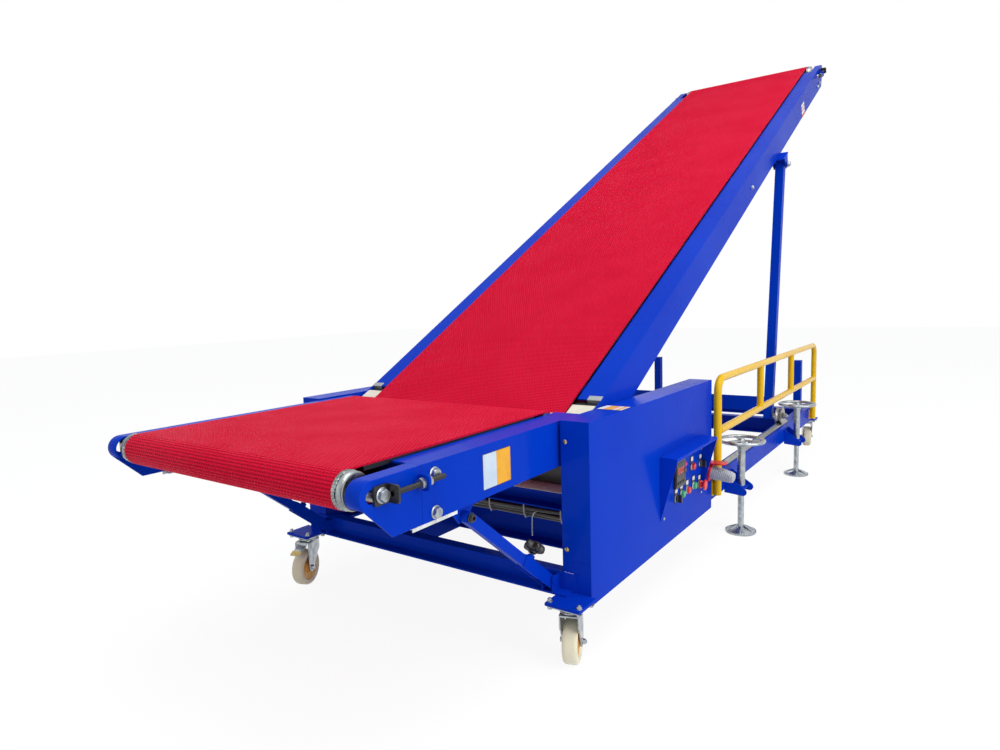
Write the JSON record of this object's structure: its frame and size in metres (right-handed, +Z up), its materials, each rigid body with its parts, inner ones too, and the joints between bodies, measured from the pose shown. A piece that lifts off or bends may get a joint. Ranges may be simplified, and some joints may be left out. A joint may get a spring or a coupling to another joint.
{
  "type": "mobile belt conveyor",
  "caption": "Mobile belt conveyor with a level infeed deck, a raised luffing boom on struts, a castor chassis, screw jacks, side covers and handrails.",
  "frame": {"origin": "centre of the machine's footprint box on the floor", "axes": "+X from the infeed end to the discharge end, +Y away from the control side, +Z up"},
  "size_m": [4.9201, 1.6386, 2.8448],
  "materials": {
    "blue_paint": "gloss ultramarine powder coat",
    "belt_red": "matt crimson conveyor belt with a fine cross rib",
    "yellow_paint": "gloss safety yellow",
    "nylon_cream": "cast nylon, cream",
    "zinc": "bright zinc plate",
    "steel": "turned steel",
    "black_plastic": "black moulded plastic",
    "controls": "push buttons and switches",
    "inlet_red": "red moulded power inlet",
    "bed_steel": "plain steel sheet"
  },
  "bodies": {
    "chassis": {"chassis_rails": "blue_paint", "chassis_members": "blue_paint", "castor_plates": "blue_paint", "castor_top_plates": "zinc", "roller_tracks": "blue_paint", "rest_posts": "blue_paint", "side_covers": "blue_paint", "bearing_frames": "blue_paint", "control_hood": "blue_paint", "control_switches": "controls", "power_socket": "inlet_red", "handrails": "yellow_paint", "jack_brackets": "blue_paint", "jack_handwheels": "zinc"},
    "infeed": {"infeed_frames": "blue_paint", "infeed_ties": "blue_paint", "infeed_noses": "blue_paint", "infeed_bed": "bed_steel", "infeed_belt": "belt_red", "infeed_tail_drum": "steel", "infeed_head_drum": "steel", "infeed_tensioners": "black_plastic"},
    "props_lower": {"prop_sleeves": "blue_paint"},
    "props_upper": {"prop_bars": "blue_paint"},
    "boom": {"boom_frames": "blue_paint", "boom_ties": "blue_paint", "strut_brackets": "blue_paint", "boom_noses": "blue_paint", "boom_bed": "bed_steel", "boom_belt": "belt_red", "boom_tail_drum": "steel", "boom_head_drum": "steel", "boom_idlers": "steel", "boom_tensioners": "black_plastic"},
    "struts": {"strut_legs": "blue_paint", "strut_beam": "blue_paint"},
    "carriage": {"roller_axles": "steel"},
    "roller_near": {"track_roller_near": "steel"},
    "roller_far": {"track_roller_far": "steel"},
    "jack_front_near": {"jack_leg_front_near": "zinc"},
    "jack_front_far": {"jack_leg_front_far": "zinc"},
    "jack_rear_near": {"jack_leg_rear_near": "zinc"},
    "jack_rear_far": {"jack_leg_rear_far": "zinc"},
    "castor_front_near": {"castor_fork_front_near": "zinc"},
    "wheel_front_near": {"castor_wheel_front_near": "nylon_cream"},
    "castor_front_far": {"castor_fork_front_far": "zinc"},
    "wheel_front_far": {"castor_wheel_front_far": "nylon_cream"},
    "castor_rear_near": {"castor_fork_rear_near": "zinc"},
    "wheel_rear_near": {"castor_wheel_rear_near": "nylon_cream"},
    "castor_rear_far": {"castor_fork_rear_far": "zinc"},
    "wheel_rear_far": {"castor_wheel_rear_far": "nylon_cream"}
  },
  "joints": [
    {"name": "infeed_tilt", "type": "hinge", "parent": "chassis", "child": "infeed", "pos_m": [-1.55607, 0, 0.709], "axis": [0, 1, 0], "range_deg": [-6, 4]},
    {"name": "prop_lower_turn", "type": "hinge", "parent": "chassis", "child": "props_lower", "pos_m": [-1.67806, 0, 0.242], "axis": [0, 1, 0], "range_deg": [-4.2, 4.2]},
    {"name": "prop_upper_turn", "type": "hinge", "parent": "infeed", "child": "props_upper", "pos_m": [-2.07606, 0, 0.563], "axis": [0, 1, 0], "range_deg": [-2.8, 2.8]},
    {"name": "boom_luff", "type": "hinge", "parent": "chassis", "child": "boom", "pos_m": [-1.43606, 0, 0.683], "axis": [0, -1, 0], "range_deg": [-27.8, 0]},
    {"name": "strut_swing", "type": "hinge", "parent": "boom", "child": "struts", "pos_m": [1.13292, 0, 1.90931], "axis": [0, -1, 0], "range_deg": [-46.82, 0.1]},
    {"name": "carriage_travel", "type": "slide", "parent": "chassis", "child": "carriage", "axis": [1, 0, 0], "range_m": [-1.05, 0.001]},
    {"name": "roller_near_spin", "type": "hinge", "parent": "carriage", "child": "roller_near", "pos_m": [0.91243, -0.622, 0.368], "axis": [0, 1, 0], "continuous": true},
    {"name": "roller_far_spin", "type": "hinge", "parent": "carriage", "child": "roller_far", "pos_m": [0.91243, 0.622, 0.368], "axis": [0, 1, 0], "continuous": true},
    {"name": "jack_front_near_travel", "type": "slide", "parent": "chassis", "child": "jack_front_near", "axis": [0, 0, 1], "range_m": [-0.02, 0.09]},
    {"name": "jack_front_far_travel", "type": "slide", "parent": "chassis", "child": "jack_front_far", "axis": [0, 0, 1], "range_m": [-0.02, 0.09]},
    {"name": "jack_rear_near_travel", "type": "slide", "parent": "chassis", "child": "jack_rear_near", "axis": [0, 0, 1], "range_m": [-0.02, 0.09]},
    {"name": "jack_rear_far_travel", "type": "slide", "parent": "chassis", "child": "jack_rear_far", "axis": [0, 0, 1], "range_m": [-0.02, 0.09]},
    {"name": "castor_front_near_swivel", "type": "hinge", "parent": "chassis", "child": "castor_front_near", "pos_m": [-1.70006, -0.612, 0.2], "axis": [0, 0, 1], "continuous": true},
    {"name": "wheel_front_near_spin", "type": "hinge", "parent": "castor_front_near", "child": "wheel_front_near", "pos_m": [-1.67563, -0.60311, 0.07], "axis": [-0.342, 0.9397, 0], "continuous": true},
    {"name": "castor_front_far_swivel", "type": "hinge", "parent": "chassis", "child": "castor_front_far", "pos_m": [-1.70006, 0.612, 0.2], "axis": [0, 0, 1], "continuous": true},
    {"name": "wheel_front_far_spin", "type": "hinge", "parent": "castor_front_far", "child": "wheel_front_far", "pos_m": [-1.7245, 0.60311, 0.07], "axis": [0.342, -0.9397, 0], "continuous": true},
    {"name": "castor_rear_near_swivel", "type": "hinge", "parent": "chassis", "child": "castor_rear_near", "pos_m": [1.81394, -0.612, 0.2], "axis": [0, 0, 1], "continuous": true},
    {"name": "wheel_rear_near_spin", "type": "hinge", "parent": "castor_rear_near", "child": "wheel_rear_near", "pos_m": [1.83866, -0.60397, 0.07], "axis": [-0.309, 0.9511, 0], "continuous": true},
    {"name": "castor_rear_far_swivel", "type": "hinge", "parent": "chassis", "child": "castor_rear_far", "pos_m": [1.81394, 0.612, 0.2], "axis": [0, 0, 1], "continuous": true},
    {"name": "wheel_rear_far_spin", "type": "hinge", "parent": "castor_rear_far", "child": "wheel_rear_far", "pos_m": [1.83987, 0.61381, 0.07], "axis": [-0.0698, 0.9976, 0], "continuous": true}
  ],
  "couplings": [
    {"joint": "prop_lower_turn", "follows": "infeed_tilt", "ratio": 0.61656},
    {"joint": "prop_upper_turn", "follows": "infeed_tilt", "ratio": -0.38344},
    {"joint": "strut_swing", "follows": "boom_luff", "ratio": 1.6769},
    {"joint": "carriage_travel", "follows": "boom_luff", "m_per_rad": 2.1599}
  ]
}
